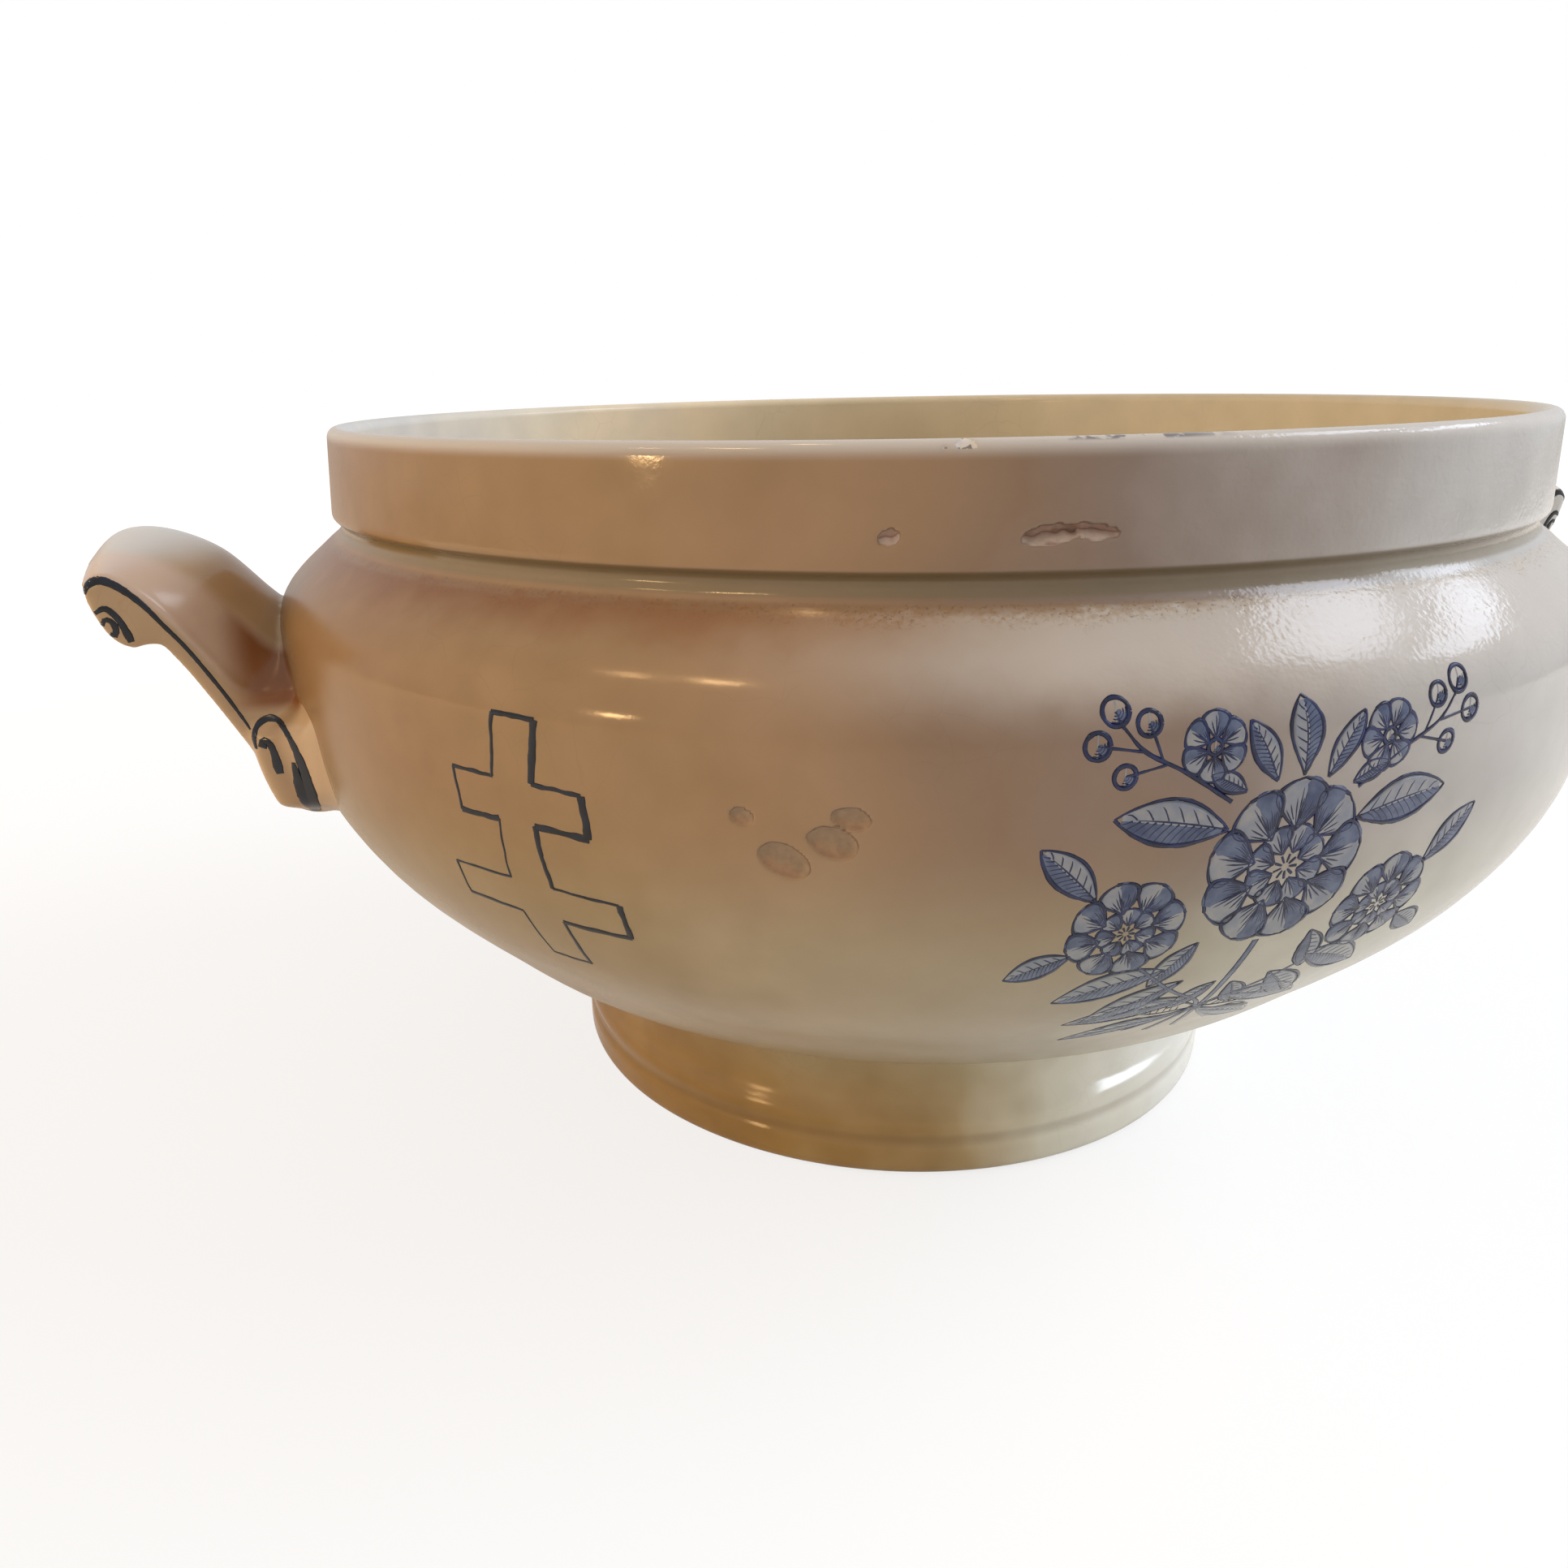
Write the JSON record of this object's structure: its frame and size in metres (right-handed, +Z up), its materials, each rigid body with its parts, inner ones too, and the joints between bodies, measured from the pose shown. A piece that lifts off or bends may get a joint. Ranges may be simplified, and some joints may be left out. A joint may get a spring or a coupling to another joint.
{
  "type": "two-handled tureen basin",
  "caption": "Round glazed earthenware basin with an upright collar rim, a bulging body on a foot ring and scroll lug handles at its sides.",
  "frame": {"origin": "centre of the resting plane under the foot ring", "axes": "+Z up through the mouth, the handles on the X axis, the decorated front faces -Y"},
  "size_m": [0.327, 0.2668, 0.1435],
  "materials": {
    "body_glaze": "glossy crazed lead glaze over warm ivory earthenware",
    "foot_glaze": "glossy glaze pooled to cream, bare clay on the resting edge",
    "joint_glaze": "glaze gathered over the smoothed joint",
    "handle_glaze": "glossy glaze over pressed clay",
    "painted_line": "brushed blue-black line under the glaze",
    "printed_blue": "engraved blue print under the glaze"
  },
  "bodies": {
    "root": {"bowl": "body_glaze", "foot_ring": "foot_glaze", "foot_slip_seam": "joint_glaze", "left_handle": "handle_glaze", "left_handle_slip": "joint_glaze", "right_handle": "handle_glaze", "right_handle_slip": "joint_glaze"}
  },
  "joints": []
}
